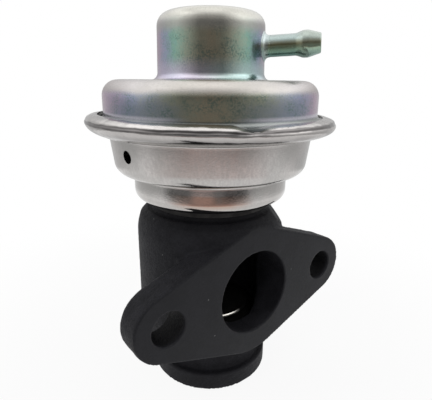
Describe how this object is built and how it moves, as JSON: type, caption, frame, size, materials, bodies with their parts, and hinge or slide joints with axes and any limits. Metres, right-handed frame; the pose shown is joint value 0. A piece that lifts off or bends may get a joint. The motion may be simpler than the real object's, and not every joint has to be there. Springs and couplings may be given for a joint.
{
  "type": "exhaust gas recirculation valve",
  "caption": "Vacuum-operated exhaust gas recirculation valve: spring-closed lifting poppet in a flanged iron casting under a round crimped diaphragm actuator with a side hose nipple.",
  "frame": {"origin": "centre of the outlet spigot's end face, on the valve axis", "axes": "+Z along the valve axis from the outlet spigot up to the actuator cap; -Y out of the inlet port, square to the machined flange face; +X along the line of the two flange bolts"},
  "size_m": [0.0716, 0.066, 0.1007],
  "materials": {
    "casting_black": "black phosphated sand casting with a smooth machined flange face",
    "plated_cover": "satin zinc plate with a rainbow passivation of olive, teal and lilac",
    "bare_cover": "plain drawn steel, satin, with fine turning lines",
    "machined_steel": "turned heat-resistant steel",
    "guide_bronze": "sintered bronze",
    "pressed_steel": "plain pressed steel",
    "fastener_steel": "clear zinc plate",
    "spring_steel": "oiled spring wire",
    "diaphragm_rubber": "fabric-reinforced moulded rubber",
    "seal_graphite": "pressed graphite",
    "gasket_fibre": "dark pressed fibre"
  },
  "bodies": {
    "housing": {"valve_body": "casting_black", "seat_ring": "machined_steel", "guide_bush": "guide_bronze", "deposit_shield": "pressed_steel", "stem_seal": "seal_graphite", "seal_retainer": "pressed_steel", "insulating_gasket": "gasket_fibre", "lower_cover": "bare_cover", "clamp_ring": "pressed_steel", "cover_screws": "fastener_steel", "lock_washers": "spring_steel", "upper_cover": "plated_cover", "vacuum_nipple": "plated_cover", "spring_seat": "pressed_steel", "return_spring": "spring_steel", "diaphragm": "diaphragm_rubber"},
    "valve": {"valve_stem": "machined_steel", "poppet_head": "machined_steel", "support_plate": "pressed_steel", "piston_cup": "pressed_steel", "stud_washer": "fastener_steel", "stud_nut": "fastener_steel"}
  },
  "joints": [
    {"name": "valve_lift", "type": "slide", "parent": "housing", "child": "valve", "axis": [0, 0, 1], "range_m": [0, 0.006], "stiffness_N_per_m": 3000, "deforming": ["return_spring", "diaphragm"]}
  ]
}
